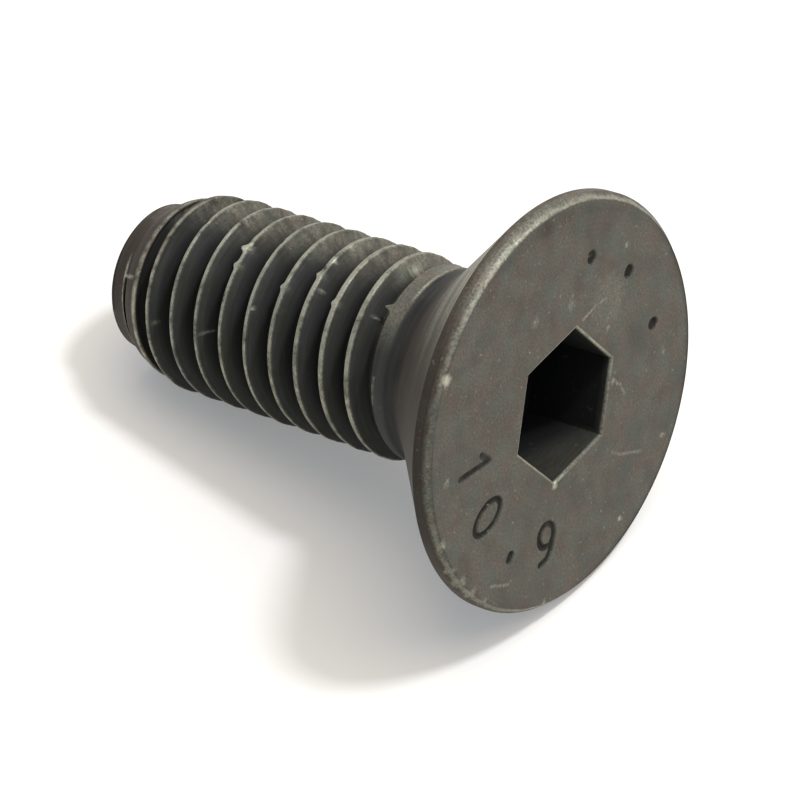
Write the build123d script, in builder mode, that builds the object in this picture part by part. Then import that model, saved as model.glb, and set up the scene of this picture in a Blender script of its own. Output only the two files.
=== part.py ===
from build123d import *
import os
from math import atan2, cos, degrees, radians, sin, sqrt, tan

# Countersunk hexagon-socket screw, M8 x 20, lying at rest on its head's rim and its thread.
#
# Millimetres, +Z up. The origin is on the surface that the screw lies on, under the middle of its box.
# The screw's axis lies in the XZ plane, with the head towards +X and higher than the tip.
# Sections are drawn in a lengthwise plane, whose X runs along the axis and out of the head's face,
# and whose Y is the distance from the axis. Depths are measured behind the face.

# Shank and thread: ISO metric coarse M8, right-handed
screw_length = 20.0  # over all, as a countersunk screw is measured
crest_diameter = 7.88  # an M8 thread's real outer diameter, a little under 8
thread_pitch = 1.25
flank_angle = 60.0  # between the two flanks of one groove
crest_flat = 0.156
root_flat = 0.2
thread_phase = 0.46  # how far beyond the flat end the groove is centred, on top of the screw
runout_length = 0.4  # over which the groove fades out towards the neck
taper_start_length = 2.9  # from the flat end to the last full crest
taper_end_length = 0.7  # from the flat end to the point's land
taper_end_diameter = 6.14
point_diameter = 5.94  # where the land ends
point_edge_bevel = 0.15  # 45 degrees, round the flat end

# Head
head_diameter = 15.76
edge_bevel_width = 0.25  # between the face and the rim, measured outwards
edge_bevel_depth = 0.3  # measured behind the face
rim_land = 0.38  # straight part of the rim
countersink_angle = 90.0
blank_fillet = 2.0  # radius, from the countersink to the rod that the thread is cut in
neck_diameter = 7.46
neck_fillet = 2.6  # radius, from the countersink to the neck
neck_start_depth = 3.9  # where the neck's fillet leaves the countersink
neck_length = 0.45  # plain part, from the fillet to the shoulder
shoulder_length = 0.5  # over which the neck widens to the crests

# Hexagon socket
socket_across_flats = 5.03
socket_depth = 3.4  # of the flats
socket_floor_angle = 118.0  # of the cone at the bottom
socket_mouth_chamfer = 0.08
socket_turn = 32.0  # of a corner from the top of the screw, about the axis

# Clearance that cuts keep outside the blank
groove_clearance = 0.08
turning_clearance = 1.0

# Sizes that follow
crest_radius = crest_diameter / 2
head_radius = head_diameter / 2
face_radius = head_radius - edge_bevel_width
neck_radius = neck_diameter / 2
point_radius = point_diameter / 2
end_radius = point_radius - point_edge_bevel
rim_depth = edge_bevel_depth + rim_land
cone_slope = tan(radians(countersink_angle / 2))
cone_depth = rim_depth + (head_radius - crest_radius) / cone_slope
neck_start_radius = head_radius - (neck_start_depth - rim_depth) * cone_slope
fillet_height = neck_start_radius - neck_radius
neck_depth = neck_start_depth + sqrt(fillet_height * (2 * neck_fillet - fillet_height))
shoulder_depth = neck_depth + neck_length
taper_depth = screw_length - taper_start_length

# Rest: the rim's rear edge touches the surface, and so does the last full crest under the screw
touching_depth = screw_length + thread_phase - 3 * thread_pitch + crest_flat / 2
rest_tilt = atan2(head_radius - crest_radius, touching_depth - rim_depth)
face_height = rim_depth * sin(rest_tilt) + head_radius * cos(rest_tilt)
head_reach = face_radius * sin(rest_tilt)
tip_reach = screw_length * cos(rest_tilt) + end_radius * sin(rest_tilt)
face_centre = Vector((tip_reach - head_reach) / 2, 0, face_height)
along_axis = Vector(cos(rest_tilt), 0, sin(rest_tilt))
above_axis = Vector(-sin(rest_tilt), 0, cos(rest_tilt))
screw_axis = Axis(face_centre, along_axis)
lengthwise = Plane(origin=face_centre, x_dir=along_axis, z_dir=(0, -1, 0))
head_face = Plane(origin=face_centre, x_dir=above_axis, z_dir=along_axis)

# Groove: straight flanks down to a flat root, open just past the crest
flank_slope = tan(radians(flank_angle / 2))
root_height = crest_radius - (thread_pitch - crest_flat - root_flat) / 2 / flank_slope
groove_top = crest_radius + groove_clearance
groove_half_width = root_flat / 2 + (groove_top - root_height) * flank_slope
groove_start = screw_length + thread_phase
groove_end = neck_depth + runout_length
groove_turn = 360 * (groove_start - groove_end) / thread_pitch
runout_angle = degrees(atan2(groove_top - root_height, runout_length))


def groove_run(turned, start_depth, run_length, cone_angle):
    """The groove's section where a run starts, and the helix that it follows towards the head."""
    turned_plane = Plane(
        origin=face_centre,
        x_dir=along_axis,
        z_dir=lengthwise.z_dir.rotate(Axis((0, 0, 0), along_axis), turned),
    )
    with BuildSketch(turned_plane) as section:
        with BuildLine():
            Polyline(
                (-start_depth - groove_half_width, groove_top),
                (-start_depth - root_flat / 2, root_height),
                (-start_depth + root_flat / 2, root_height),
                (-start_depth + groove_half_width, groove_top),
                close=True,
            )
        make_face()
    with BuildLine() as helix:
        Helix(
            thread_pitch / cos(radians(cone_angle)),
            run_length,
            root_height,
            center=face_centre - along_axis * start_depth,
            direction=along_axis,
            cone_angle=cone_angle,
        )
    return section.sketch, helix.line.rotate(screw_axis, turned)


full_depth_run = groove_run(0, groove_start, groove_start - groove_end, 0)
fading_run = groove_run(groove_turn, groove_end, runout_length, runout_angle)

with BuildPart() as screw:
    # Blank: face, bevel, rim, countersink and rod, turned about the axis
    with BuildSketch(lengthwise):
        with BuildLine():
            FilletPolyline(
                (0, 0),
                (0, face_radius),
                (-edge_bevel_depth, head_radius),
                (-rim_depth, head_radius),
                (-cone_depth, crest_radius),
                (-screw_length, crest_radius),
                (-screw_length, 0),
                radius=(0, 0, 0, 0, blank_fillet, 0, 0),
                close=True,
            )
        make_face()
    revolve(axis=screw_axis)

    # Thread
    for section, helix in (full_depth_run, fading_run):
        sweep(section, path=helix, is_frenet=True, mode=Mode.SUBTRACT)

    # Point: all that lies outside the taper, the land and its bevelled edge is turned away
    with BuildSketch(lengthwise):
        with BuildLine():
            Polyline(
                (-taper_depth, crest_radius),
                (-screw_length + taper_end_length, taper_end_diameter / 2),
                (-screw_length + point_edge_bevel, point_radius),
                (-screw_length, end_radius),
                (-screw_length - turning_clearance, end_radius),
                (-screw_length - turning_clearance, crest_radius + turning_clearance),
                (-taper_depth, crest_radius + turning_clearance),
                close=True,
            )
        make_face()
    revolve(axis=screw_axis, mode=Mode.SUBTRACT)

    # Neck: a little narrower than the thread, turned from the countersink to a sloping shoulder
    with BuildSketch(lengthwise):
        with BuildLine():
            fillet = TangentArc(
                (-neck_depth, neck_radius),
                (-neck_start_depth, neck_start_radius),
                tangent=(1, 0),
            )
            Polyline(
                fillet @ 1,
                (-neck_start_depth, neck_start_radius + turning_clearance),
                (-shoulder_depth - shoulder_length, neck_start_radius + turning_clearance),
                (-shoulder_depth - shoulder_length, crest_radius),
                (-shoulder_depth, neck_radius),
                fillet @ 0,
            )
        make_face()
    revolve(axis=screw_axis, mode=Mode.SUBTRACT)

    # Socket: six flats, a coned floor and a small chamfer round the mouth
    with BuildSketch(head_face):
        RegularPolygon(socket_across_flats / 2, 6, major_radius=False, rotation=socket_turn)
    extrude(amount=-socket_depth, mode=Mode.SUBTRACT)
    with BuildSketch(lengthwise):
        with BuildLine():
            Polyline(
                (-socket_depth, 0),
                (-socket_depth, socket_across_flats / 2),
                (-socket_depth - socket_across_flats / 2 / tan(radians(socket_floor_angle / 2)), 0),
                close=True,
            )
        make_face()
    revolve(axis=screw_axis, mode=Mode.SUBTRACT)
    mouth = screw.faces().sort_by(screw_axis)[-1].inner_wires()[0].edges()
    chamfer(mouth, socket_mouth_chamfer)

screw.part.label = "countersunk_screw"

os.makedirs("parts", exist_ok=True)
export_step(screw.part, "parts/countersunk_screw.step")
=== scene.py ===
import math

import bmesh
import bpy
import numpy as np
from mathutils import Matrix, Vector, noise
from mathutils.geometry import delaunay_2d_cdt


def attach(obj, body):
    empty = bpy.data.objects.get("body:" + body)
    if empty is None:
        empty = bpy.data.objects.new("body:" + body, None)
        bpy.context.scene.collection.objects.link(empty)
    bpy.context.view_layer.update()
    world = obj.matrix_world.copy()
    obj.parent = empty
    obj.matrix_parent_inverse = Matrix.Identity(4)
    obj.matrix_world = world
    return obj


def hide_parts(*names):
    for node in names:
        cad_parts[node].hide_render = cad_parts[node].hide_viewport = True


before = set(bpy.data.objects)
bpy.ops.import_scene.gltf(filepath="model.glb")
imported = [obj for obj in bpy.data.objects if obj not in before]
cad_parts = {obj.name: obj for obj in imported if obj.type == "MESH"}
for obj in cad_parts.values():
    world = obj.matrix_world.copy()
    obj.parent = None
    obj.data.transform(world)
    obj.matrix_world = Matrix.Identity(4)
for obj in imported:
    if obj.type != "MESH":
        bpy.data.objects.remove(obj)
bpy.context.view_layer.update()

# Countersunk hexagon-socket screw, lying on its head's rim and its thread.
#
# It is drawn in its own frame, in millimetres: its axis is Z, which runs out of the head's face, X points
# to the upper side of the screw as it lies, and turns are counted from X about Z, in degrees.
# A depth is a distance behind the head's face. One matrix takes the screw to its place in the row frame.
MM = 0.001

# Shank and thread
SCREW_LENGTH = 20.0
CREST_RADIUS = 3.94
ROOT_RADIUS = 3.13
TOUCHING_CREST_FLAT = 0.156
ROOT_FLAT = 0.2
PITCH = 1.25
HALF_GROOVE_ANGLE = math.radians(30)
GROOVE_PHASE = 0.46
GROOVE_CLEARANCE = 0.08
SHALLOWING = 0.1
RUNOUT_LENGTH = 0.4
TAPER_DEPTH = 17.1
TAPER_END_DEPTH = 19.3
TAPER_END_RADIUS = 3.07
POINT_RADIUS = 2.97
END_BEVEL = 0.15

# Head
HEAD_RADIUS = 7.88
FACE_RADIUS = 7.63
BEVEL_DEPTH = 0.3
RIM_DEPTH = 0.68
NECK_START_DEPTH = 3.9
NECK_RADIUS = 3.73
NECK_FILLET = 2.6
NECK_LENGTH = 0.45
SHOULDER_LENGTH = 0.5

# Hexagon socket
ACROSS_FLATS = 5.03
SOCKET_DEPTH = 3.4
FLOOR_ANGLE = math.radians(118)
MOUTH_CHAMFER = 0.08
SOCKET_TURN = 32.0

# Sizes that follow
neck_start_radius = HEAD_RADIUS - (NECK_START_DEPTH - RIM_DEPTH)
fillet_height = neck_start_radius - NECK_RADIUS
neck_depth = NECK_START_DEPTH + math.sqrt(fillet_height * (2 * NECK_FILLET - fillet_height))
shoulder_depth = neck_depth + NECK_LENGTH
shank_depth = shoulder_depth + SHOULDER_LENGTH
point_depth = SCREW_LENGTH - END_BEVEL
end_radius = POINT_RADIUS - END_BEVEL
mouth_flat = ACROSS_FLATS / 2 + MOUTH_CHAMFER
flank_slope = math.tan(HALF_GROOVE_ANGLE)

# Rest: the rim's rear edge touches the surface, and so does the last full crest under the screw
touching_depth = SCREW_LENGTH + GROOVE_PHASE - 3 * PITCH + TOUCHING_CREST_FLAT / 2
rest_tilt = math.atan2(HEAD_RADIUS - CREST_RADIUS, touching_depth - RIM_DEPTH)
face_height = RIM_DEPTH * math.sin(rest_tilt) + HEAD_RADIUS * math.cos(rest_tilt)
head_reach = FACE_RADIUS * math.sin(rest_tilt)
tip_reach = SCREW_LENGTH * math.cos(rest_tilt) + end_radius * math.sin(rest_tilt)
face_centre = Vector(((tip_reach - head_reach) / 2, 0, face_height)) * MM
along_axis = Vector((math.cos(rest_tilt), 0, math.sin(rest_tilt)))
above_axis = Vector((-math.sin(rest_tilt), 0, math.cos(rest_tilt)))
beside_axis = along_axis.cross(above_axis)
screw_turn = Matrix((above_axis, beside_axis, along_axis)).transposed()
placement = Matrix.Translation(face_centre) @ screw_turn.to_4x4() @ Matrix.Scale(MM, 4)


def linear(hex_colour):
    """An sRGB hex colour as linear RGBA, opaque."""
    parts = [int(hex_colour[i:i + 2], 16) / 255 for i in (1, 3, 5)]
    return [c / 12.92 if c <= 0.04045 else ((c + 0.055) / 1.055) ** 2.4 for c in parts] + [1.0]


def add(tree, kind, inputs=None, **settings):
    """One node with its settings, and its inputs linked to nodes or sockets, or set to values."""
    made = tree.nodes.new(kind)
    for name, value in settings.items():
        setattr(made, name, value)
    for name, value in (inputs or {}).items():
        if isinstance(value, bpy.types.Node):
            value = value.outputs[0]
        if isinstance(value, bpy.types.NodeSocket):
            tree.links.new(value, made.inputs[name])
        else:
            made.inputs[name].default_value = value
    return made


def calc(tree, operation, *values, **settings):
    """A Math node on up to three values."""
    return add(tree, "ShaderNodeMath", dict(enumerate(values)), operation=operation, **settings)


def mapped(tree, value, from_low, from_high, to_low=0.0, to_high=1.0):
    """A value's place between two others as the same place between two more, and never beyond them."""
    return add(tree, "ShaderNodeMapRange", {"Value": value, "From Min": from_low, "From Max": from_high,
                                            "To Min": to_low, "To Max": to_high})


def mixed(tree, factor, first, second):
    """A colour that goes from the first to the second as the factor goes from 0 to 1."""
    return add(tree, "ShaderNodeMix", {"Factor": factor, 6: first, 7: second}, data_type="RGBA").outputs[2]


def linked(name, data):
    """A new object in the scene."""
    made = bpy.data.objects.new(name, data)
    bpy.context.scene.collection.objects.link(made)
    return made


def polar(radius, turn, depth):
    """A point of the screw from its distance to the axis, its turn in degrees and its depth."""
    return Vector((radius * math.cos(math.radians(turn)), radius * math.sin(math.radians(turn)), -depth))


# Threaded skin: Geometry Nodes lay the rows of a grid along the thread

COLUMNS = 288
THREAD_LAPS = 13
HALF_ROOT_ROWS = 1
FLANK_ROWS = 4
HALF_LAND_ROWS = 3
EDGE_ROW = HALF_ROOT_ROWS + FLANK_ROWS
PITCH_ROWS = 2 * (EDGE_ROW + HALF_LAND_ROWS)
LEAST_HALF_GROOVE = 0.004
LEAST_HALF_LAND = 0.02
MERGE_DISTANCE = 0.0002

# Powers that crowd the rows of the flank and of the land towards the crest's edge
FLANK_CROWDING = 1.7
LAND_CROWDING = 1.6

THREAD_SIZES = {
    "Pitch": PITCH,
    "Crest radius": CREST_RADIUS,
    "Root radius": ROOT_RADIUS,
    "Half root flat": ROOT_FLAT / 2,
    "Flank slope": flank_slope,
    "First groove depth": SCREW_LENGTH + GROOVE_PHASE - (THREAD_LAPS - 1) * PITCH,
    "Start depth": neck_depth,
    "Neck radius": NECK_RADIUS,
    "Shoulder depth": shoulder_depth,
    "Shank depth": shank_depth,
    "Taper depth": TAPER_DEPTH,
    "Taper end depth": TAPER_END_DEPTH,
    "Taper end radius": TAPER_END_RADIUS,
    "Point depth": point_depth,
    "Point radius": POINT_RADIUS,
    "Runout length": RUNOUT_LENGTH,
    "Runout rise": CREST_RADIUS + GROOVE_CLEARANCE - ROOT_RADIUS,
    "Shallowing": SHALLOWING,
    "Crest rounding": 0.05,
    "Root rounding": 0.12,
}


def blank_radius(tree, size, depth):
    """Nodes for the radius before threading: neck, shoulder, shank, taper and the point's land."""
    shoulder = mapped(tree, depth, size["Shoulder depth"], size["Shank depth"], size["Neck radius"],
                      size["Crest radius"])
    taper_drop = calc(tree, "SUBTRACT", size["Crest radius"], size["Taper end radius"])
    taper = mapped(tree, depth, size["Taper depth"], size["Taper end depth"], 0.0, taper_drop)
    land_drop = calc(tree, "SUBTRACT", size["Taper end radius"], size["Point radius"])
    land = mapped(tree, depth, size["Taper end depth"], size["Point depth"], 0.0, land_drop)
    radius = calc(tree, "SUBTRACT", shoulder, taper)
    return calc(tree, "SUBTRACT", radius, land)


def thread_tree(material):
    """A grid whose rows follow the root, the flanks and both edges of the crest, all along the thread."""
    tree = bpy.data.node_groups.new("thread_skin", "GeometryNodeTree")
    for name in THREAD_SIZES:
        tree.interface.new_socket(name, in_out="INPUT", socket_type="NodeSocketFloat")
    tree.interface.new_socket("Skin", in_out="OUTPUT", socket_type="NodeSocketGeometry")
    size = add(tree, "NodeGroupInput").outputs

    # Column and row of each point, and the lap of thread and the side of the groove that the row is on
    grid = add(tree, "GeometryNodeMeshGrid",
               {"Vertices X": THREAD_LAPS * PITCH_ROWS + 1, "Vertices Y": COLUMNS + 1})
    index = add(tree, "GeometryNodeInputIndex")
    column = calc(tree, "FLOORED_MODULO", index, COLUMNS + 1)
    turn_share = calc(tree, "DIVIDE", column, COLUMNS)
    row = calc(tree, "DIVIDE", index, COLUMNS + 1)
    row = calc(tree, "FLOOR", row)
    lap = calc(tree, "MULTIPLY_ADD", row, 1 / PITCH_ROWS, 0.5)
    lap = calc(tree, "FLOOR", lap)
    rows_past = calc(tree, "MULTIPLY_ADD", lap, -PITCH_ROWS, row)
    side = calc(tree, "SIGN", rows_past)
    rows_off = calc(tree, "ABSOLUTE", rows_past)

    # Depth of the groove's middle, where this lap passes this column
    laps_on = calc(tree, "SUBTRACT", lap, turn_share)
    groove = calc(tree, "MULTIPLY_ADD", laps_on, size["Pitch"], size["First groove depth"])

    # The root rises a little towards the head, and leaves the metal at the run-out
    runout_start = calc(tree, "ADD", size["Start depth"], size["Runout length"])
    runout = mapped(tree, groove, runout_start, size["Start depth"], 0.0, size["Runout rise"])
    shallow = mapped(tree, groove, size["Taper depth"], runout_start, 0.0, size["Shallowing"])
    root = calc(tree, "ADD", size["Root radius"], runout)
    root = calc(tree, "ADD", root, shallow)

    # Half width of the groove where its flank meets the blank, found in three steps
    crest = blank_radius(tree, size, groove)
    for _ in range(3):
        height = calc(tree, "SUBTRACT", crest, root)
        half_width = calc(tree, "MULTIPLY_ADD", height, size["Flank slope"], size["Half root flat"])
        edge = calc(tree, "MULTIPLY_ADD", half_width, side, groove)
        crest = blank_radius(tree, size, edge)
    half_pitch = calc(tree, "MULTIPLY", size["Pitch"], 0.5)
    widest = calc(tree, "SUBTRACT", half_pitch, LEAST_HALF_LAND)
    half_width = add(tree, "ShaderNodeClamp",
                     {"Value": half_width, "Min": LEAST_HALF_GROOVE, "Max": widest})

    # Distance of this row from the groove's middle: over the root, up the flank and over the land
    root_reach = calc(tree, "MINIMUM", size["Half root flat"], half_width)
    over_root = mapped(tree, rows_off, 0.0, HALF_ROOT_ROWS, 0.0, root_reach)
    flank_left = mapped(tree, rows_off, HALF_ROOT_ROWS, EDGE_ROW, 1.0, 0.0)
    flank_left = calc(tree, "POWER", flank_left, FLANK_CROWDING)
    flank_reach = calc(tree, "SUBTRACT", half_width, root_reach)
    up_flank = mapped(tree, flank_left, 1.0, 0.0, 0.0, flank_reach)
    land_reach = calc(tree, "SUBTRACT", half_pitch, half_width)
    land_share = mapped(tree, rows_off, EDGE_ROW, PITCH_ROWS / 2)
    land_share = calc(tree, "POWER", land_share, LAND_CROWDING)
    over_land = calc(tree, "MULTIPLY", land_share, land_reach)
    reach = calc(tree, "ADD", over_root, up_flank)
    reach = calc(tree, "ADD", reach, over_land)
    depth = calc(tree, "MULTIPLY_ADD", reach, side, groove)
    depth = add(tree, "ShaderNodeClamp",
                {"Value": depth, "Min": size["Start depth"], "Max": size["Point depth"]})

    # Radius: the groove's section cut into the blank, with its root and its edges rounded
    off_groove = calc(tree, "SUBTRACT", depth, groove)
    off_groove = calc(tree, "ABSOLUTE", off_groove)
    off_root = calc(tree, "SUBTRACT", off_groove, size["Half root flat"])
    climb = calc(tree, "DIVIDE", off_root, size["Flank slope"])
    flank = calc(tree, "ADD", root, climb)
    cut = calc(tree, "SMOOTH_MAX", root, flank, size["Root rounding"])
    blank = blank_radius(tree, size, depth)
    radius = calc(tree, "SMOOTH_MIN", blank, cut, size["Crest rounding"])

    angle = calc(tree, "MULTIPLY", turn_share, math.tau)
    cosine = calc(tree, "COSINE", angle)
    sine = calc(tree, "SINE", angle)
    x = calc(tree, "MULTIPLY", radius, cosine)
    y = calc(tree, "MULTIPLY", radius, sine)
    z = calc(tree, "MULTIPLY", depth, -1.0)
    place = add(tree, "ShaderNodeCombineXYZ", {"X": x, "Y": y, "Z": z})

    skin = add(tree, "GeometryNodeSetPosition", {"Geometry": grid, "Position": place})
    skin = add(tree, "GeometryNodeMergeByDistance", {"Geometry": skin, "Distance": MERGE_DISTANCE})
    skin = add(tree, "GeometryNodeRealizeInstances", {"Geometry": skin})
    skin = add(tree, "GeometryNodeSetMaterial", {"Geometry": skin, "Material": material})
    add(tree, "NodeGroupOutput", {"Skin": skin})
    return tree


def thread_skin(material):
    """The thread's skin as a plain mesh, open at the neck and at the point."""
    tree = thread_tree(material)
    holder = linked("thread_skin", bpy.data.meshes.new("thread_skin"))
    modifier = holder.modifiers.new("thread", "NODES")
    modifier.node_group = tree
    for item in tree.interface.items_tree:
        if item.in_out == "INPUT":
            modifier[item.identifier] = float(THREAD_SIZES[item.name])
    evaluated = holder.evaluated_get(bpy.context.evaluated_depsgraph_get())
    mesh = bpy.data.meshes.new_from_object(evaluated)
    bpy.data.objects.remove(holder)
    return mesh


# Turned surfaces

RIM_COLUMNS = 2 * COLUMNS
RIM_STEP = 0.09
RIM_ROUNDINGS = (0.08, 0.07, 0.06)
FACE_EDGE_WIDTH = 0.09
CONE_EDGE_WIDTH = 0.12
CONE_STEP = 0.3
FILLET_STEPS = 36
INNER_RINGS = (0.75, 0.5, 0.25)


def divided(start, end, step):
    """The points after start on the straight run to end."""
    count = max(1, round((end - start).length / step))
    return [start.lerp(end, i / count) for i in range(1, count + 1)]


def rounded(corners, radii, step):
    """An outline through (radius, depth) corners, the inner ones rounded and its runs divided."""
    corners = [Vector(c) for c in corners]
    outline = [corners[0]]
    for before, corner, after, radius in zip(corners, corners[1:], corners[2:], radii):
        to_before = (before - corner).normalized()
        to_after = (after - corner).normalized()
        half_angle = to_before.angle(to_after) / 2
        reach = radius / math.tan(half_angle)
        centre = corner + (to_before + to_after).normalized() * radius / math.sin(half_angle)
        first = corner + to_before * reach - centre
        sweep = first.angle_signed(corner + to_after * reach - centre)
        outline += divided(outline[-1], centre + first, step)
        steps = max(3, round(abs(sweep) * radius / step))
        outline += [centre + Matrix.Rotation(-sweep * i / steps, 2) @ first for i in range(1, steps + 1)]
    return outline + divided(outline[-1], corners[-1], step)


def ring(bm, radius, depth, columns=COLUMNS):
    """One vertex for each column, round the axis."""
    return [bm.verts.new(polar(radius, 360 * i / columns, depth)) for i in range(columns)]


def bridge(bm, upper, lower):
    """Faces between two closed rings, where the upper one has as many columns as the lower or twice that."""
    count = len(lower)
    for i in range(count):
        j = (i + 1) % count
        if len(upper) == count:
            bm.faces.new((upper[i], lower[i], lower[j], upper[j]))
        else:
            bm.faces.new((upper[2 * i], lower[i], upper[2 * i + 1]))
            bm.faces.new((upper[2 * i + 1], lower[i], lower[j]))
            bm.faces.new((upper[2 * i + 1], lower[j], upper[2 * j]))


def turned_skin(bm, upper, outline, columns=COLUMNS):
    """The outline turned about the axis, joined on to the ring upper. Returns its last ring."""
    for radius, depth in outline:
        lower = ring(bm, radius, depth, columns)
        bridge(bm, upper, lower)
        upper = lower
    return upper


def fan(bm, last, depth):
    """Closes a ring with faces to a middle point at a depth."""
    middle = bm.verts.new((0, 0, -depth))
    for i, vert in enumerate(last):
        bm.faces.new((vert, middle, last[(i + 1) % len(last)]))


def close_end(bm, last, depth):
    """Closes the end with rings that shrink to a middle point."""
    radius = last[0].co.xy.length
    fan(bm, turned_skin(bm, last, [(radius * share, depth) for share in INNER_RINGS]), depth)


def head_outlines():
    """The head's outline in two parts: the rim from the face, and the countersink to the neck."""
    rim = rounded(
        [(FACE_RADIUS - FACE_EDGE_WIDTH, 0), (FACE_RADIUS, 0), (HEAD_RADIUS, BEVEL_DEPTH),
         (HEAD_RADIUS, RIM_DEPTH), (HEAD_RADIUS - CONE_EDGE_WIDTH, RIM_DEPTH + CONE_EDGE_WIDTH)],
        RIM_ROUNDINGS,
        RIM_STEP,
    )
    countersink = divided(rim[-1], Vector((neck_start_radius, NECK_START_DEPTH)), CONE_STEP)
    fillet_turn = math.acos(1 - fillet_height / NECK_FILLET)
    for i in range(1, FILLET_STEPS + 1):
        turn = fillet_turn * (1 - i / FILLET_STEPS)
        countersink.append((NECK_RADIUS + NECK_FILLET * (1 - math.cos(turn)),
                            neck_depth - NECK_FILLET * math.sin(turn)))
    return rim, countersink


# Socket

SIDE_STEPS = 16
MOUTH_STRIP = 0.03
WALL_DEPTHS = (0.16, 0.4, 0.8, 1.1, 1.4, 1.6, 1.8, 1.95, 2.1, 2.3, 2.7, SOCKET_DEPTH)

# The floor's cone starts on a circle just inside the flats
FLOOR_RADIUS = 0.999 * ACROSS_FLATS / 2


def hexagon(bm, across_flats, depth):
    """One ring of vertices along a hexagon, which has a corner at the socket's turn."""
    corners = [polar(across_flats / math.sqrt(3), SOCKET_TURN + 60 * k, depth) for k in range(6)]
    made = []
    for corner, following in zip(corners, corners[1:] + corners[:1]):
        made += [bm.verts.new(corner.lerp(following, i / SIDE_STEPS)) for i in range(SIDE_STEPS)]
    return made


def socket(bm):
    """The socket's skin from a strip of face round its mouth to its coned floor. Returns its outer ring."""
    mouth = hexagon(bm, 2 * (mouth_flat + MOUTH_STRIP), 0.0)
    last = mouth
    sections = [(2 * MOUTH_CHAMFER, 0.0), (0.8 * MOUTH_CHAMFER, 0.35 * MOUTH_CHAMFER), (0.0, MOUTH_CHAMFER)]
    sections += [(0.0, depth) for depth in WALL_DEPTHS]
    for widening, depth in sections:
        following = hexagon(bm, ACROSS_FLATS + widening, depth)
        bridge(bm, last, following)
        last = following
    for share in (1.0, *INNER_RINGS):
        depth = SOCKET_DEPTH + FLOOR_RADIUS * (1 - share) / math.tan(FLOOR_ANGLE / 2)
        following = [
            bm.verts.new(polar(FLOOR_RADIUS * share, math.degrees(math.atan2(vert.co.y, vert.co.x)), depth))
            for vert in last
        ]
        bridge(bm, last, following)
        last = following
    fan(bm, last, SOCKET_DEPTH + FLOOR_RADIUS / math.tan(FLOOR_ANGLE / 2))
    return mouth


def flat_distance(places):
    """Distance of each place from the axis, measured square to the nearest of the socket's flats."""
    turns = np.degrees(np.arctan2(places[:, 1], places[:, 0])) - SOCKET_TURN
    off_flat = np.radians(turns % 60 - 30)
    return np.hypot(places[:, 0], places[:, 1]) * np.cos(off_flat)


# Stamps and scratches

def oval(middle, half_width, half_height, steps):
    """Points round an ellipse half-way across a mark's box, with its middle at a height in it."""
    turns = [math.radians(360 * i / steps) for i in range(steps + 1)]
    return [(0.5 + half_width * math.cos(t), middle + half_height * math.sin(t)) for t in turns]


# Strokes of each mark in a box 1 wide and 2 high
MARKS = {
    "1": [[(0.16, 1.55), (0.55, 2.0), (0.55, 0.0)]],
    "0": [oval(1.0, 0.5, 1.0, 28)],
    ".": [[(0.5, 0.05), (0.5, 0.25)]],
    "9": [oval(1.4, 0.46, 0.58, 24), [(0.96, 1.35), (0.93, 0.7), (0.74, 0.22), (0.38, 0.0)]],
    "dot": [[(0.5, 0.95), (0.5, 1.05)]],
}
MARK_HEIGHT = 1.6
MARK_WIDTH = 0.92

# A generic strength grade, and three plain punched dots: mark, turn of its middle, radius of its foot,
# stroke width and depth
STAMPS = [
    ("1", 80.0, 6.1, 0.26, 0.08),
    ("0", 105.0, 6.1, 0.25, 0.09),
    (".", 130.0, 5.95, 0.34, 0.11),
    ("9", 151.0, 6.05, 0.26, 0.1),
    ("dot", -31.6, 6.3, 0.46, 0.12),
    ("dot", -59.0, 6.3, 0.46, 0.13),
    ("dot", -90.8, 6.3, 0.46, 0.12),
]

# Fine scratches, each as how bright it is and its (radius, turn, depth) points
SCRATCHES = [
    (0.45, [(3.19, -34.0, 0), (3.75, -43.5, 0), (4.21, -51.1, 0)]),
    (0.3, [(4.05, -151.7, 0), (4.6, -149.5, 0), (5.84, -143.0, 0)]),
    (0.3, [(2.98, -107.1, 0), (3.35, -111.5, 0), (3.69, -118.6, 0)]),
    (0.4, [(7.05, 125.9, 0), (6.77, 134.2, 0)]),
    (1.0, [(3.08, 52.0, 19.15), (3.25, 51.2, 18.8), (3.42, 50.4, 18.45)]),
    (0.45, [(3.81, 70.4, 14.46), (3.57, 69.0, 14.32), (3.4, 68.7, 14.22)]),
    (0.35, [(3.76, 62.5, 6.0), (3.76, 78.5, 6.0)]),
]
SCRATCH_WIDTH = 0.09


def stamp_strokes():
    """Each stamped stroke as its points on the face, half its width and its depth."""
    strokes = []
    for mark, turn, foot_radius, width, depth in STAMPS:
        out = polar(1, turn, 0).xy
        reading = Vector((-out.y, out.x))
        for line in MARKS[mark]:
            points = [
                out * (foot_radius - y * MARK_HEIGHT / 2) + reading * (x - 0.5) * MARK_WIDTH
                for x, y in line
            ]
            strokes.append((points, width / 2, depth))
    return strokes


def line_distance(places, points):
    """Distance of each place from a line through points, on the face or in the round."""
    nearest = np.full(len(places), np.inf)
    for start, end in zip(points, points[1:]):
        start = np.array(start)
        run = np.array(end) - start
        share = np.clip((places - start) @ run / (run @ run), 0, 1)
        nearest = np.minimum(nearest, np.linalg.norm(places - start - share[:, None] * run, axis=1))
    return nearest


# Head's face

FACE_STEP = 0.16
STAMP_STEP = 0.045
ROW_SPACING = 0.866

# How far the small triangles reach round a mark, where the large ones begin, and the bare strips at the edges
FINE_REACH = 0.13
COARSE_GAP = 0.19
MOUTH_GAP = 0.08
EDGE_GAP = 0.1


def lattice(reach, step):
    """Points of a triangular lattice in a square of that half width."""
    rows = int(reach / (step * ROW_SPACING)) + 1
    across = int(reach / step) + 1
    places = [
        ((i + 0.5 * (j % 2)) * step, j * step * ROW_SPACING)
        for j in range(-rows, rows + 1)
        for i in range(-across, across + 1)
    ]
    return np.array(places)


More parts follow.
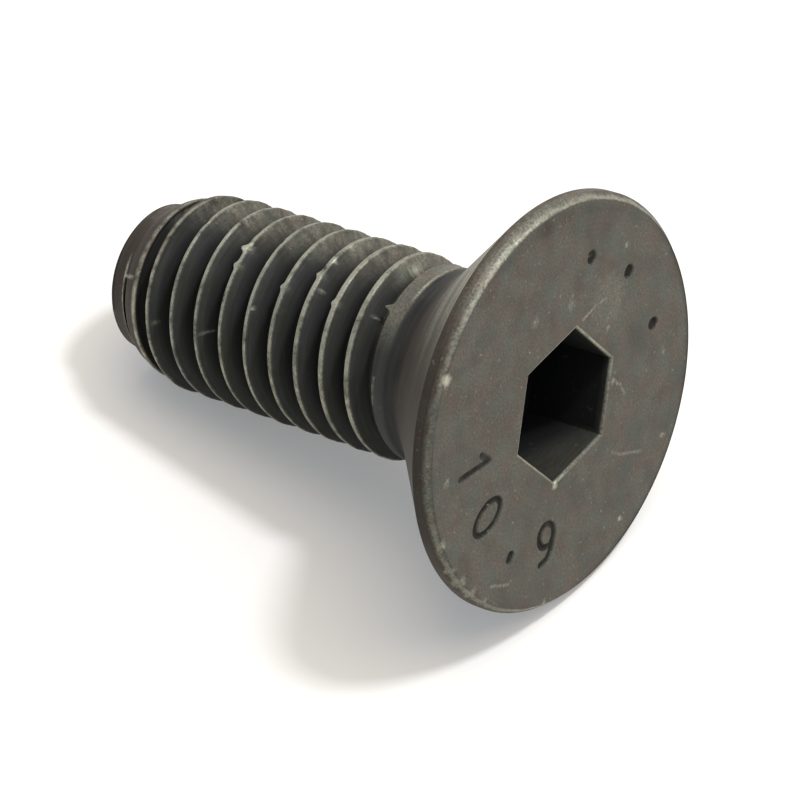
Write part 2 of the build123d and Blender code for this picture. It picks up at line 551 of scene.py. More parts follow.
def head_face(bm, outer, mouth):
    """The flat face between the rings outer and mouth, with small triangles where it is marked."""
    lines = [(points, half_width) for points, half_width, _ in stamp_strokes()]
    lines += [([polar(*p).xy for p in scratch], 0.0) for _, scratch in SCRATCHES if scratch[0][2] == 0]
    coarse = lattice(FACE_RADIUS, FACE_STEP)
    fine = lattice(FACE_RADIUS, STAMP_STEP)
    fine_gap = np.min([line_distance(fine, points) - half for points, half in lines], axis=0)
    coarse_gap = np.min([line_distance(coarse, points) - half for points, half in lines], axis=0)
    places = np.vstack([fine[fine_gap < FINE_REACH], coarse[coarse_gap > COARSE_GAP]])
    inside = flat_distance(places) > mouth_flat + MOUTH_STRIP + MOUTH_GAP
    inside &= np.hypot(places[:, 0], places[:, 1]) < outer[0].co.xy.length - EDGE_GAP
    places = [Vector(p) for p in places[inside]]

    verts = outer + mouth + [bm.verts.new((p.x, p.y, 0.0)) for p in places]
    places = [v.co.xy for v in outer + mouth] + places
    first = len(outer)
    edges = [(i, (i + 1) % first) for i in range(first)]
    edges += [(first + i, first + (i + 1) % len(mouth)) for i in range(len(mouth))]
    made, _, triangles, sources, _, _ = delaunay_2d_cdt(places, edges, [], 1, 1e-6)
    middles = np.array([sum((made[c] for c in corners), Vector((0, 0))) / 3 for corners in triangles])
    for corners, reach in zip(triangles, flat_distance(middles)):
        if reach > mouth_flat + MOUTH_STRIP:
            bm.faces.new([verts[sources[c][0]] for c in corners])


# Wear, and painted light and shade

def ramp(value, low, high):
    """0 below low and 1 above high, eased between them. It falls where low is the larger."""
    share = np.clip((value - low) / (high - low), 0, 1)
    return share * share * (3 - 2 * share)


def blotches(places, period, seed):
    """Uneven values from -1 to 1 at each place, which change over about one period in millimetres."""
    shift = Vector((3.1, 7.7, 5.3)) * seed
    return np.array([noise.fractal(Vector(p) / period + shift, 1.0, 2.0, 2) for p in places])


def turn_gap(turns, turn):
    """Degrees from a turn, the short way round."""
    return np.abs((turns - turn + 180) % 360 - 180)


# Nicks: radius, turn, depth, size and how deep they go, in millimetres, and how bright the metal is
NICKS = [
    (7.56, 47.5, 0.06, 0.27, 0.05, 1.0),
    (7.72, 106.0, 0.12, 0.24, 0.05, 0.32),
    (7.7, 112.5, 0.12, 0.32, 0.07, 0.38),
    (7.72, 119.5, 0.1, 0.28, 0.06, 0.42),
    (7.66, 126.0, 0.1, 0.2, 0.04, 0.38),
    (7.6, 96.0, 0.06, 0.22, 0.03, 0.4),
    (7.6, 154.7, 0.04, 0.12, 0.02, 0.45),
    (6.81, -165.6, 0.0, 0.14, 0.04, 0.8),
    (6.92, -135.1, 0.0, 0.17, 0.03, 0.5),
    (6.25, -51.3, 0.0, 0.12, 0.02, 0.6),
    (3.33, -64.7, 0.0, 0.13, 0.02, 0.4),
    (6.03, -104.7, 0.0, 0.12, 0.02, 0.35),
    (6.84, 78.1, 0.0, 0.13, 0.02, 0.35),
    (4.27, 9.4, 0.0, 0.22, 0.01, 0.22),
    (3.82, -20.9, 0.0, 0.25, 0.01, 0.2),
    # A broad faint lighter patch on the face
    (4.1, -52.0, 0.0, 1.3, 0.0, 0.1),
    (2.93, -107.0, 0.02, 0.12, 0.05, 0.5),
    (2.98, 152.0, 0.02, 0.14, 0.02, 0.9),
    (3.92, 14.2, 13.6, 0.16, -0.05, 1.0),
    (3.92, 11.6, 13.53, 0.15, -0.05, 1.0),
    (3.9, 13.2, 13.45, 0.14, 0.07, 0.3),
    (3.9, 46.0, 12.0, 0.12, 0.05, 0.6),
    (3.9, 3.0, 12.5, 0.12, 0.05, 0.7),
    (3.53, 28.3, 6.95, 0.12, 0.0, 0.6),
    (3.58, -12.9, 7.1, 0.17, 0.0, 0.9),
    (3.57, -15.8, 7.11, 0.18, 0.0, 1.0),
    (3.56, -18.6, 7.12, 0.18, 0.0, 1.0),
    (3.56, -21.2, 7.13, 0.17, 0.0, 0.8),
    (3.56, -23.7, 7.13, 0.15, 0.0, 0.6),
    (3.66, 24.0, 9.53, 0.12, 0.0, 0.3),
    (3.69, 73.1, 16.89, 0.12, 0.0, 0.16),
    (3.9, -20.0, 13.35, 0.15, -0.03, 0.8),
    (3.9, -5.8, 14.61, 0.25, 0.0, 0.3),
    (3.92, 5.5, 13.6, 0.13, -0.03, 0.8),
    (3.9, 25.4, 13.75, 0.12, -0.03, 0.6),
    (3.94, -10.7, 9.84, 0.17, 0.0, 1.0),
    (3.94, 4.7, 9.82, 0.2, 0.0, 1.0),
    (3.8, 16.2, 10.11, 0.1, -0.03, 0.6),
    (3.8, 29.5, 11.3, 0.1, -0.03, 0.6),
    (3.94, 29.5, 8.56, 0.12, -0.03, 0.8),
    (3.25, 14.0, 18.6, 0.16, -0.05, 0.8),
    (3.9, 5.0, 16.2, 0.15, 0.05, 0.6),
    (3.9, 40.0, 15.3, 0.12, 0.05, 0.5),
    (3.7, 24.0, 11.2, 0.1, 0.03, 0.5),
    (3.6, 52.0, 9.9, 0.09, 0.02, 0.4),
    (3.6, -60.0, 9.0, 0.14, 0.04, 0.6),
    (3.9, -120.0, 15.0, 0.16, 0.05, 0.6),
    (3.9, 150.0, 12.0, 0.15, 0.05, 0.5),
]

# Burrs that stick out towards the tip: turn, depth and how far, in millimetres
BURRS = [
    (21.0, 6.16, 0.42),
    (14.2, 13.6, 0.2),
    (16.2, 9.83, 0.13),
    (29.5, 11.03, 0.12),
    (25.4, 13.55, 0.12),
    (29.5, 8.52, 0.08),
]

# How far a burr spreads round the axis, in degrees, and along it
BURR_TURN = 1.7
BURR_LENGTH = 0.13

# Brightness by turn of the bare metal on the crests and on the head's bevel. The crests are worn bare; the rise
# and fall with turn, and most of the bevel's band, are a painted highlight where they face the lamps.
CREST_TURNS = [-150.0, -90.0, -45.0, -12.0, 3.0, 22.0, 40.0, 75.0, 120.0, 160.0]
CREST_BARE_AND_HIGHLIGHT = [0.3, 0.4, 0.4, 0.7, 1.0, 1.0, 0.78, 0.68, 0.62, 0.4]
RIM_TURNS = [-170.0, -100.0, -60.0, -40.0, -14.0, 10.0, 30.0, 55.0, 85.0, 110.0, 130.0, 155.0, 175.0]
RIM_BARE_AND_HIGHLIGHT = [0.3, 0.1, 0.35, 0.5, 0.5, 0.48, 0.34, 0.1, 0.22, 0.38, 0.4, 0.6, 0.5]

# Brightness of the socket's rubbed mouth along its six sides, by the turn of the side's middle
MOUTH_TURNS = [-178.0, -118.0, -58.0, 2.0, 62.0, 122.0]
MOUTH_LIGHT = [0.25, 0.2, 0.9, 0.55, 0.45, 0.6]

# The cone's streaks are read on a thin cylinder, so they run far round the axis and change fast along it
STREAK_RADIUS = 0.6
STREAK_PERIOD = 0.35

# A depth between the socket's floor and the point's end
UNDER_SOCKET = 5.2

# Depths of the fillet's ring of deepest painted shade and of the collar's step edge, which gets a painted
# highlight
FILLET_SHADE_DEPTH = 5.0
STEP_EDGE_DEPTH = 5.57

# The raised lip round each stamped stroke, and the stroke's depth from which its painted shade is full
LIP_HEIGHT = 0.008
LIP_GAP = 0.06
LIP_WIDTH = 0.04
STAMP_SHADE_DEPTH = 0.08

# The rusty patch on the face, as radius, turn and depth
RUST_PLACE = (7.25, -7, 0)
RUST_SIZE = 0.45

# How uneven the forged surface is, over a few millimetres and over less than one
FORGED_WAVES = 0.006
FORGED_RIPPLES = 0.002

# Marks stored on the skin: bare metal together with painted highlights; dark, mostly painted shade with oil in
# the roots and darker brown lands on the point; brown; and rubbed grey together with painted top light
WEAR_AND_PAINTED_LIGHT_MARKS = ("bare_and_highlight", "dark", "brown", "rubbed_and_lit")


class Skin:
    """The screw's points, how far each is moved, how its finish is worn there, and where light and shade are
    painted on it.
    """

    def __init__(self, mesh):
        self.places = self.read(mesh.vertices, "co")
        self.normals = self.read(mesh.vertex_normals, "vector")
        self.radii = np.hypot(self.places[:, 0], self.places[:, 1])
        self.turns = np.degrees(np.arctan2(self.places[:, 1], self.places[:, 0]))
        self.depths = -self.places[:, 2]
        self.flats = flat_distance(self.places)
        self.wide = blotches(self.places, 2.2, 1)
        self.middle = blotches(self.places, 0.7, 2)
        self.fine = blotches(self.places, 0.22, 3)
        around = np.radians(self.turns)
        cylinder = (STREAK_RADIUS * np.cos(around), STREAK_RADIUS * np.sin(around), self.depths)
        self.turned = blotches(np.column_stack(cylinder), STREAK_PERIOD, 4)
        self.on_face = (self.depths < 1e-4) & (self.flats > mouth_flat - 1e-4)
        self.in_socket = (self.flats < mouth_flat + 1e-4) & (self.depths < UNDER_SOCKET) & ~self.on_face
        self.on_rim = (self.radii > FACE_RADIUS - 0.15) & (self.depths < RIM_DEPTH + 0.1)
        self.on_thread = (self.depths > neck_depth + 1e-3) & (self.depths < point_depth - 1e-3)
        self.sink = np.zeros(len(self.places))
        self.slide = np.zeros(len(self.places))
        self.marks = {name: np.zeros(len(self.places)) for name in WEAR_AND_PAINTED_LIGHT_MARKS}

    @staticmethod
    def read(items, name):
        values = np.empty(len(items) * 3)
        items.foreach_get(name, values)
        return values.reshape(-1, 3)

    def facing(self, turn, far, near):
        """1 within near degrees of a turn and 0 beyond far degrees from it, eased between them."""
        return ramp(turn_gap(self.turns, turn), far, near)

    def uneven(self, level, wide=0, middle=0, fine=0, turned=0, low=0, high=1):
        """A level made uneven by a share of each kind of blotch, and kept from low to high."""
        level = level + wide * self.wide + middle * self.middle + fine * self.fine + turned * self.turned
        return np.clip(level, low, high)

    def mark(self, name, amount):
        """Raises a mark to an amount where that is the larger."""
        self.marks[name] = np.maximum(self.marks[name], amount)

    def finish(self, mesh):
        """Moves the mesh's points, and stores the marks as its attributes."""
        self.places -= self.normals * self.sink[:, None]
        self.places[:, 2] -= self.slide
        mesh.vertices.foreach_set("co", self.places.ravel())
        for name, values in self.marks.items():
            layer = mesh.attributes.new(name, "FLOAT", "POINT")
            layer.data.foreach_set("value", np.clip(values, 0, 1).astype(np.float32))


def wear_thread(skin):
    """Rough bright crests with a painted highlight, grooves painted lighter on top, roots dark with oil and
    painted shade, and a brownish point.
    """
    blank = np.interp(skin.depths, [shoulder_depth, shank_depth, TAPER_DEPTH, TAPER_END_DEPTH, point_depth],
                      [NECK_RADIUS, CREST_RADIUS, CREST_RADIUS, TAPER_END_RADIUS, POINT_RADIUS])
    below_blank = blank - skin.radii
    first_groove = SCREW_LENGTH + GROOVE_PHASE - PITCH * (skin.turns % 360) / 360
    past_groove = skin.depths - first_groove
    past_groove -= PITCH * np.round(past_groove / PITCH)
    groove_height = blank - ROOT_RADIUS
    past_edge = past_groove - ROOT_FLAT / 2 - groove_height * flank_slope

    crest = skin.on_thread * ramp(below_blank, 0.1, 0.03)
    on_point = ramp(skin.depths, TAPER_DEPTH - 0.1, TAPER_DEPTH + 0.1)
    on_shank = ramp(skin.depths, neck_depth, shank_depth)
    on_top = skin.facing(-45, 62, 27)
    rough = skin.uneven(0.74, middle=0.6, fine=0.45)
    first_crest = ramp(skin.depths, TAPER_DEPTH + 0.3, TAPER_DEPTH + 0.15)
    # The crests are worn to bare metal, and brightened by turn as a painted highlight
    crest_bare_and_highlight = skin.on_thread * ramp(below_blank, 0.02, 0.0) * np.maximum(first_crest, 1 - on_point)
    crest_bare_and_highlight *= ramp(skin.depths, shank_depth - 0.3, shank_depth)
    wider = 0.04 * ramp(skin.depths, 13, 8)
    crest_bare_and_highlight *= ramp(PITCH / 2 - np.abs(past_groove) - wider, 0.1, 0.06)
    crest_bare_and_highlight *= np.interp(skin.turns, CREST_TURNS, CREST_BARE_AND_HIGHLIGHT, period=360)
    skin.mark("bare_and_highlight", rough * crest_bare_and_highlight)
    # Dark roots: oil, and painted shade that eases off on the lit upper side
    skin.mark("dark", skin.on_thread * on_shank * ramp(below_blank, 0.3, 0.7) * (1 - 0.75 * on_top))
    # Painted top light: the grooves greyed on the screw's upper side, with a few specks of bare metal
    lit_patch = on_top * ramp(below_blank, 0.8, 0.3) * skin.uneven(0.8, middle=0.35, fine=0.3)
    skin.mark("rubbed_and_lit", skin.on_thread * np.maximum(lit_patch, 0.1 * ramp(below_blank, 0.5, 0.1)))
    skin.mark("bare_and_highlight", skin.on_thread * lit_patch * skin.uneven(0.09, middle=0.1, fine=0.06))
    skin.sink += crest * (1 - on_point) * (0.012 + 0.014 * (skin.middle + skin.fine))
    skin.slide += crest * 0.016 * (skin.middle + 0.8 * skin.fine)

    # The point: its lands are brown, and bright along the grooves, which end there as thin lines of painted
    # shade; the flanks just below the lands' edges get painted shade too
    shallow = ramp(groove_height, 0.3, 0.15)
    beside = ramp(turn_gap(skin.turns, -50), 82, 98)
    edge_light = skin.on_thread * on_point * ramp(below_blank, 0.09, 0.04)
    at_edge = ramp(np.abs(past_edge - 0.02), 0.07, 0.03) * (past_edge > -0.005)
    edge_light *= at_edge * ramp(groove_height, -0.2, -0.07)
    skin.mark("bare_and_highlight", rough * edge_light * (0.5 + 0.4 * beside) * (1 - shallow * (1 - beside)))
    skin.mark("brown", 0.9 * crest * on_point)
    skin.mark("dark", 0.22 * crest * on_point)
    line = skin.on_thread * on_point * shallow * ramp(np.abs(past_groove), 0.16, 0.11) * (past_edge < -0.005)
    line *= ramp(groove_height, -0.15, -0.02) * skin.facing(115, 66, 61)
    skin.mark("dark", np.maximum(line, skin.on_thread * on_point * 0.8 * ramp(below_blank, 0.02, 0.12)))
    lip = crest * ramp(skin.depths, 17.2, 17.8) * ramp(skin.depths, 19.1, 18.5)
    skin.sink += 0.12 * line - 0.09 * lip * skin.facing(30, 125, 85)
    # The flat end darkened towards its rim
    skin.mark("dark", 0.8 * (skin.depths > point_depth - 1e-3) * ramp(skin.radii, end_radius - 0.1, end_radius))


def wear_neck(skin):
    """A cone painted lighter towards the rim and on top, a painted highlight, painted shade in the fillet, and
    a collar with a low step and a burr on top.
    """
    on_cone = (skin.depths > RIM_DEPTH) & (skin.depths < neck_depth + 1e-3) & ~skin.in_socket
    # The cone's grey is painted light, growing towards the rim and on the upper side, over a little real
    # rubbing and turned streaks
    towards_rim = ramp(skin.depths, 4.6, 2.4)
    upper = skin.facing(-25, 80, 40)
    rubbed_and_lit = skin.uneven(0.1 + towards_rim * (0.3 + 0.5 * upper), middle=0.1, turned=0.25)
    browned = skin.uneven(0.55, middle=0.2, turned=-0.45)
    streaked = skin.uneven(1, middle=0.35, turned=0.9, high=1.6)
    skin.mark("rubbed_and_lit", on_cone * rubbed_and_lit)
    skin.mark("brown", on_cone * ramp(skin.depths, 5.2, 4.2) * browned)
    # A streaked painted highlight on the cone's upper part near the rim
    skin.mark("bare_and_highlight", on_cone * 0.42 * ramp(skin.depths, 4.2, 1.8) * upper * streaked)
    # Painted shade in the concave fillet, weaker on top and strongest on the far side
    fillet = ramp(np.abs(skin.depths - FILLET_SHADE_DEPTH), 0.75, 0.25) * (skin.radii > NECK_RADIUS - 0.02)
    fillet *= 1 - 0.7 * skin.facing(-30, 50, 25)
    skin.mark("dark", fillet * np.clip(0.42 + 0.25 * skin.wide + 0.3 * skin.facing(140, 80, 40), 0, 0.8))
    collar = ramp(skin.depths, 5.46, 5.56) * ramp(skin.depths, shank_depth, shoulder_depth)
    collar *= skin.radii < CREST_RADIUS
    on_top = skin.facing(-10, 60, 30)
    skin.mark("brown", collar * on_top * skin.uneven(0.4, middle=0.6, high=0.7))
    # The collar greyed on top: painted top light over a little rubbing
    skin.mark("rubbed_and_lit", collar * (0.15 + 0.85 * on_top))
    skin.mark("bare_and_highlight", collar * on_top * skin.uneven(0.1, middle=0.12))
    step = ramp(skin.depths, 5.5, 5.58) * ramp(skin.depths, 6.1, 5.7) * skin.facing(-9, 34, 20)
    skin.sink -= 0.07 * step
    # A painted highlight along the step's edge, on top only
    skin.mark("bare_and_highlight", 0.4 * ramp(np.abs(skin.depths - STEP_EDGE_DEPTH), 0.05, 0.015) * skin.facing(-9, 28, 14))
    for turn, depth, reach in BURRS:
        burr = np.exp(-((skin.turns - turn) / BURR_TURN) ** 2)
        burr = burr * np.exp(-((skin.depths - depth) / BURR_LENGTH) ** 2) * skin.on_thread
        skin.slide += reach * burr
        skin.mark("rubbed_and_lit", burr * 0.8)
        skin.mark("bare_and_highlight", burr * 0.8 * (skin.depths > shank_depth))


def wear_rim(skin):
    """Bevel bare and painted bright by the face, most on top, and brown behind; painted shade on the far side.
    """
    down_bevel = skin.depths / BEVEL_DEPTH + 0.22 * skin.middle + 0.12 * skin.fine
    on_top = skin.facing(-14, 52, 22)
    far_side = skin.facing(-125, 75, 45)
    bevel = skin.on_rim & (skin.radii > FACE_RADIUS - 0.05)
    off_face = ramp(skin.radii, FACE_RADIUS, FACE_RADIUS + 0.05)
    # The bright band: bare metal, mostly a painted highlight, brightest on the upper side
    light = ramp(down_bevel, 0.84 - 0.06 * on_top, 0.45 - 0.12 * on_top) * off_face
    outer = 0.24 * skin.facing(3, 50, 15) * ramp(skin.depths, 0.6, 0.35) * off_face
    light = np.maximum(light, outer) * bevel
    level = np.interp(skin.turns, RIM_TURNS, RIM_BARE_AND_HIGHLIGHT, period=360)
    skin.mark("bare_and_highlight", light * np.clip(level * (1 + 0.35 * skin.middle + 0.5 * skin.fine), 0, 1))
    # Greyer on top: painted top light
    skin.mark("rubbed_and_lit", skin.on_rim * (0.6 + 0.35 * on_top))
    behind = bevel * ramp(down_bevel, 0.4 + 0.2 * on_top, 0.7 + 0.2 * on_top)
    skin.mark("brown", behind * skin.uneven(0.75 - 0.35 * on_top, middle=0.4))
    # Painted shade on the bevel's lower side and far side, and along the face's far edge
    shaded = 0.35 * ramp(skin.depths, 0.15, 0.35) * skin.facing(65, 45, 20)
    skin.mark("dark", bevel * np.maximum(shaded, 0.75 * far_side))
    skin.mark("dark", 0.5 * far_side * ramp(skin.radii, FACE_RADIUS - 0.12, FACE_RADIUS - 0.07) * skin.on_face)
    # The face a little darker near the rim on top
    skin.mark("dark", 0.15 * on_top * ramp(skin.radii, FACE_RADIUS - 0.7, FACE_RADIUS - 0.3) * skin.on_face)
    inner = ramp(skin.depths, 0.2, 0.1)
    skin.sink += bevel * inner * on_top * skin.uneven(0.02, middle=0.04, fine=0.03, high=0.07)


def mark_face(skin):
    """Stamps with sloping sides, a slight lip and painted shade in them, and a rusty patch."""
    skin.mark("rubbed_and_lit", skin.on_face * skin.uneven(0.93, wide=0.3, middle=0.2, low=0.6))
    skin.mark("brown", skin.on_face * skin.uneven(0, wide=0.5, middle=-0.3, high=0.3))
    stamped = np.zeros(len(skin.places))
    uneven = skin.uneven(0.85, middle=0.5, low=0.35, high=1.2)
    for points, half_width, depth in stamp_strokes():
        gap = line_distance(skin.places[:, :2], points) - half_width
        stamped = np.maximum(stamped, ramp(gap, 0.04, -0.06) * depth * uneven)
        skin.sink -= LIP_HEIGHT * np.exp(-((gap - LIP_GAP) / LIP_WIDTH) ** 2) * skin.on_face
    stamped *= skin.on_face
    skin.sink += stamped
    # Painted shade in the stamped strokes, darker where they are deeper
    skin.mark("dark", np.clip(stamped / STAMP_SHADE_DEPTH, 0, 0.85))
    rusty = np.exp(-(np.linalg.norm(skin.places - polar(*RUST_PLACE), axis=1) / RUST_SIZE) ** 2)
    skin.mark("brown", 0.9 * skin.on_face * rusty)


def wear_socket(skin):
    """A bright chamfer, and walls under a painted shadow but for the lit outer part of the lowest one."""
    chamfer = ramp(skin.depths, 0.15, 0.09) * ramp(skin.flats, mouth_flat + MOUTH_STRIP, mouth_flat - 0.01)
    level = np.interp(skin.turns, MOUTH_TURNS, MOUTH_LIGHT, period=360)
    skin.mark("bare_and_highlight", chamfer * level * skin.uneven(0.9, fine=0.4))
    skin.mark("rubbed_and_lit", 0.15 * skin.in_socket)
    # Painted shadow: the lowest wall stays lit up to a slanting line, and all beyond it is darkened
    lowest_wall = SOCKET_TURN + 150
    from_middle = np.radians(skin.turns - lowest_wall)
    across_wall = skin.radii * np.sin(from_middle)
    slant = 0.49 * across_wall
    lit_patch = ramp(skin.depths + slant, 2.3, 0.8) * (np.cos(from_middle) > 0.85)
    skin.mark("dark", skin.in_socket * (1 - lit_patch) * ramp(skin.depths, 0.1, 0.3))


def wear(mesh):
    """Moves the skin's points for its marks and wear, and stores where the finish is worn and where light and
    shade are painted.
    """
    skin = Skin(mesh)
    waves = FORGED_WAVES * (1 + skin.wide) * (skin.radii < HEAD_RADIUS - 0.05)
    skin.sink += waves + FORGED_RIPPLES * (1 + skin.middle)
    for region in (wear_thread, wear_neck, wear_rim, mark_face, wear_socket):
        region(skin)
    for brightness, points in SCRATCHES:
        gap = line_distance(skin.places, [polar(*p) for p in points])
        scratched = ramp(gap, SCRATCH_WIDTH, 0.2 * SCRATCH_WIDTH) * skin.uneven(0.7, fine=0.6)
        skin.mark("bare_and_highlight", brightness * scratched)
    for radius, turn, depth, size, sunk, brightness in NICKS:
        away = np.linalg.norm(skin.places - polar(radius, turn, depth), axis=1) / size
        away = away * (1 + 0.35 * skin.fine)
        skin.sink += sunk * np.exp(-away ** 2)
        skin.mark("bare_and_highlight", brightness * ramp(away, 1.0, 0.5))
    skin.finish(mesh)


# Whole screw

SEAM_DISTANCE = 0.0004
LEAST_EDGE = 1e-5
SHARP_ANGLE = math.radians(38)


def screw_mesh(material):
    """The whole screw's skin as one closed mesh, in the row frame."""
    bm = bmesh.new()
    bm.from_mesh(thread_skin(material))
    rim, countersink = head_outlines()
    outer = ring(bm, *rim[0], RIM_COLUMNS)
    rim_end = turned_skin(bm, outer, rim[1:], RIM_COLUMNS)
    turned_skin(bm, rim_end, countersink)
    end = turned_skin(bm, ring(bm, POINT_RADIUS, point_depth), [(end_radius, SCREW_LENGTH)])
    close_end(bm, end, SCREW_LENGTH)
    head_face(bm, outer, socket(bm))
    bmesh.ops.remove_doubles(bm, verts=bm.verts, dist=SEAM_DISTANCE)
    bmesh.ops.dissolve_degenerate(bm, edges=bm.edges, dist=LEAST_EDGE)
    bmesh.ops.recalc_face_normals(bm, faces=bm.faces)
    mesh = bpy.data.meshes.new("screw_body")
    bm.to_mesh(mesh)
    bm.free()
    wear(mesh)
    mesh.transform(placement)
    mesh.materials.append(material)
    for polygon in mesh.polygons:
        polygon.use_smooth = True
    mesh.set_sharp_from_angle(angle=SHARP_ANGLE)
    return mesh


# Finish

def black_oxide_steel():
    """Alloy steel, forged at the head and rolled at the thread, then blackened in hot oxide salts and oiled.

    The coat is a thin satin black that takes on the forged steel's mottled, grainy skin. It greys on the
    flat face, browns where it was worn thin, and is rubbed through to pale bare metal along the edges. Its
    marks
    also paint light and shade: lighter on top, highlights on crests and rim, and shade in the hollows.
    """
    material = bpy.data.materials.new("black_oxide_steel")
    material.use_nodes = True
    tree = material.node_tree
    bsdf = tree.nodes["Principled BSDF"]
    bare_and_highlight, dark, brown, rubbed_and_lit = (
        add(tree, "ShaderNodeAttribute", attribute_name=name).outputs["Fac"]
        for name in WEAR_AND_PAINTED_LIGHT_MARKS
    )

    # The screw's own frame in millimetres, and its turned coordinates: round the axis nothing changes fast
    object_place = add(tree, "ShaderNodeTexCoord").outputs["Object"]
    place = add(tree, "ShaderNodeMapping",
                {"Vector": object_place, "Location": face_centre, "Rotation": screw_turn.to_euler(),
                 "Scale": (MM, MM, MM)}, vector_type="TEXTURE")
    across = add(tree, "ShaderNodeVectorMath", {0: place, 1: (1, 1, 0)}, operation="MULTIPLY")
    radius = add(tree, "ShaderNodeVectorMath", {0: across}, operation="LENGTH").outputs["Value"]
    around = add(tree, "ShaderNodeVectorMath", {0: across}, operation="NORMALIZE")
    along = add(tree, "ShaderNodeVectorMath", {0: place, 1: (0, 0, 9)}, operation="MULTIPLY")
    turned = add(tree, "ShaderNodeVectorMath", {0: along, 1: around}, operation="ADD")
    radius = calc(tree, "MULTIPLY", radius, 9.0)

    # Mottling 1 mm across and less, a real grain of about 0.05 mm drawn at 0.09 mm so that it shows, and
    # the fine lines that thread rolling and turning leave round the axis
    mottle = add(tree, "ShaderNodeTexNoise", {"Vector": place, "Scale": 1.0, "Detail": 4.0, "Roughness": 0.6})
    mottle = mapped(tree, mottle, 0.38, 0.62)
    grain = add(tree, "ShaderNodeTexNoise", {"Vector": place, "Scale": 11.0, "Detail": 2.0, "Roughness": 0.6})
    lines = add(tree, "ShaderNodeTexNoise", {"Vector": turned, "W": radius, "Scale": 1.0, "Detail": 2.0},
                noise_dimensions="4D")

    # Coat: blue-black to green-black, and a grey between greenish and pinkish where it is rubbed, and where top
    # light is painted
    black = mixed(tree, mottle, linear("#262726"), linear("#23261F"))
    grey = mixed(tree, mottle, linear("#5B5D52"), linear("#62584D"))
    coat = mixed(tree, rubbed_and_lit, black, grey)
    coat = mixed(tree, brown, coat, linear("#43372C"))
    # Near black under the dark mark, which is mostly painted shade in grooves, fillet, stamps and socket
    coat = mixed(tree, dark, coat, linear("#070807"))
    uneven = add(tree, "ShaderNodeMix", {"Factor": rubbed_and_lit, 2: lines, 3: grain}).outputs[0]
    shade = mapped(tree, uneven, 0.3, 0.7, 0.7, 1.3)
    coat = add(tree, "ShaderNodeVectorMath", {0: coat, "Scale": shade}, operation="SCALE")

    # Bare metal and painted highlights break up at their edges, with small specks of bare metal elsewhere
    broken = calc(tree, "MULTIPLY_ADD", grain, 0.9, -0.45)
    edge = calc(tree, "MULTIPLY", bare_and_highlight, 4.0, use_clamp=True)
    broken = calc(tree, "MULTIPLY_ADD", broken, edge, bare_and_highlight)
    specks = add(tree, "ShaderNodeTexNoise", {"Vector": place, "Scale": 5.0, "Detail": 1.0})
    specks = mapped(tree, specks, 0.68, 0.8, 0.0, 0.35)
    specks = calc(tree, "MULTIPLY", specks, rubbed_and_lit)
    metal = calc(tree, "ADD", broken, specks, use_clamp=True)
    colour = mixed(tree, metal, coat, linear("#C0BEA9"))

    # The oiled coat is satin, the rubbed metal a little smoother, and the coat deep in the grooves is dull
    roughness = mapped(tree, metal, 0.0, 1.0, 0.5, 0.42)
    roughness = calc(tree, "MULTIPLY_ADD", grain, 0.15, roughness)
    roughness = add(tree, "ShaderNodeMix", {"Factor": dark, 2: roughness, 3: 0.95})
    metallic = calc(tree, "MULTIPLY", metal, 0.85)
    bump = add(tree, "ShaderNodeBump", {"Height": uneven, "Strength": 0.35, "Distance": 0.02 * MM})

    bsdf.inputs["Specular IOR Level"].default_value = 0.35
    tree.links.new(colour, bsdf.inputs["Base Color"])
    tree.links.new(roughness.outputs[0], bsdf.inputs["Roughness"])
    tree.links.new(metallic.outputs[0], bsdf.inputs["Metallic"])
    tree.links.new(bump.outputs[0], bsdf.inputs["Normal"])
    return material


steel = black_oxide_steel()
screw = linked("screw_body", screw_mesh(steel))
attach(screw, "root")
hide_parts("countersunk_screw")


# Camera

CAMERA_PLACE = Vector((56.802, -71.638, 95.015)) * MM
CAMERA_DIRECTION = Vector((-0.42975, 0.55764, -0.71017))
CAMERA_LENS = 152.88

camera = linked("camera", bpy.data.cameras.new("camera"))
camera.data.lens = CAMERA_LENS
camera.data.sensor_width = 36
camera.data.clip_start = 0.001
camera.location = CAMERA_PLACE
camera.rotation_euler = CAMERA_DIRECTION.to_track_quat("-Z", "Y").to_euler()
bpy.context.scene.camera = camera


# Floor, lamps and world

FLOOR_HALF = 0.14


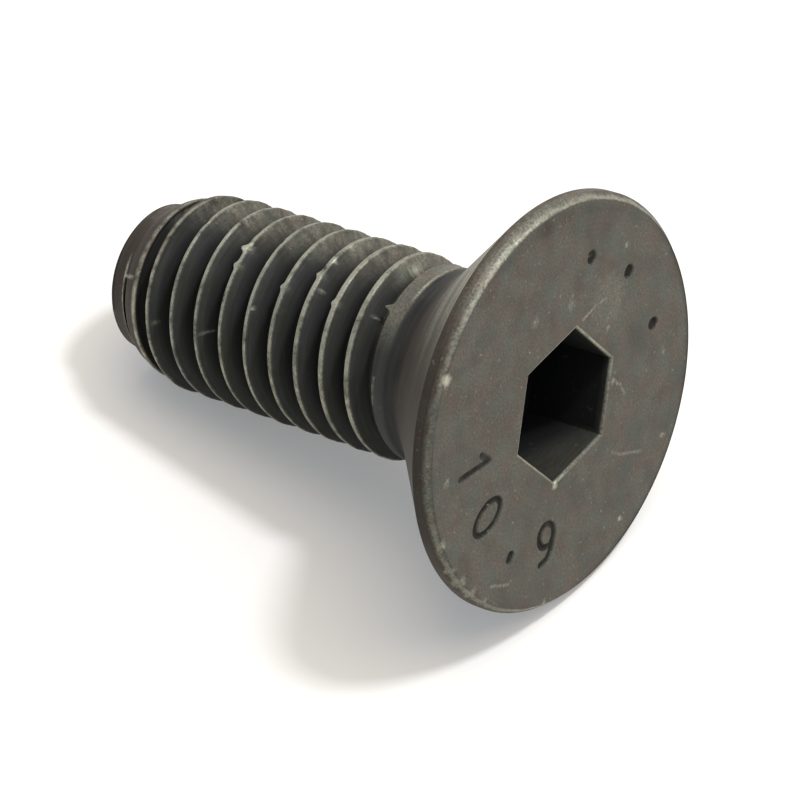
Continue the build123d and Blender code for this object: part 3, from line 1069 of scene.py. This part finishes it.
def white_paper():
    """Plain white paper. The camera and the metal's gloss see it paler than what it throws back."""
    material = bpy.data.materials.new("white_paper")
    material.use_nodes = True
    tree = material.node_tree
    path = add(tree, "ShaderNodeLightPath")
    seen = calc(tree, "MAXIMUM", path.outputs["Is Camera Ray"], path.outputs["Is Glossy Ray"])
    seen = calc(tree, "MAXIMUM", seen, path.outputs["Is Transmission Ray"])
    colour = mixed(tree, seen, linear("#A8A49C"), linear("#FFFBF3"))
    lit = add(tree, "ShaderNodeBsdfDiffuse", {"Color": colour})
    white = add(tree, "ShaderNodeEmission", {"Strength": 1.0})
    share = calc(tree, "MULTIPLY", seen, 0.2)
    shown = add(tree, "ShaderNodeMixShader", {0: share, 1: lit, 2: white})
    tree.links.new(shown.outputs[0], tree.nodes["Material Output"].inputs["Surface"])
    tree.nodes.remove(tree.nodes["Principled BSDF"])
    return material


def softbox(name, shape, size, energy, place, colour):
    """A soft lamp that points at the screw."""
    lamp = linked(name, bpy.data.lights.new(name, "AREA"))
    lamp.data.shape = shape
    lamp.data.size = size
    lamp.data.energy = energy
    lamp.data.color = linear(colour)[:3]
    lamp.location = place
    lamp.rotation_euler = (-lamp.location).to_track_quat("-Z", "Y").to_euler()


floor_mesh = bpy.data.meshes.new("floor")
floor_corners = [(FLOOR_HALF * x, FLOOR_HALF * y, 0) for x, y in ((-1, -1), (1, -1), (1, 1), (-1, 1))]
floor_mesh.from_pydata(floor_corners, [], [(0, 1, 2, 3)])
floor_mesh.materials.append(white_paper())
floor = linked("floor", floor_mesh)

softbox("key", "DISK", size=0.038, energy=0.4, place=(0.08, 0.07, 0.25), colour="#EEF4FF")
softbox("overhead", "SQUARE", size=0.5, energy=1.2, place=(0.07, 0.1, 0.42), colour="#FFEFD6")

world = bpy.data.worlds.new("studio")
bpy.context.scene.world = world
world.use_nodes = True
from_sky = add(world.node_tree, "ShaderNodeBackground", {"Color": linear("#EAF2FF"), "Strength": 0.5})
backdrop = add(world.node_tree, "ShaderNodeBackground", {"Color": linear("#FFFFFF"), "Strength": 1.0})
by_camera = add(world.node_tree, "ShaderNodeLightPath").outputs["Is Camera Ray"]
shown_world = add(world.node_tree, "ShaderNodeMixShader", {0: by_camera, 1: from_sky, 2: backdrop})
world.node_tree.links.new(shown_world.outputs[0], world.node_tree.nodes["World Output"].inputs["Surface"])
world.node_tree.nodes.remove(world.node_tree.nodes["Background"])

bpy.context.scene.view_settings.view_transform = "Standard"
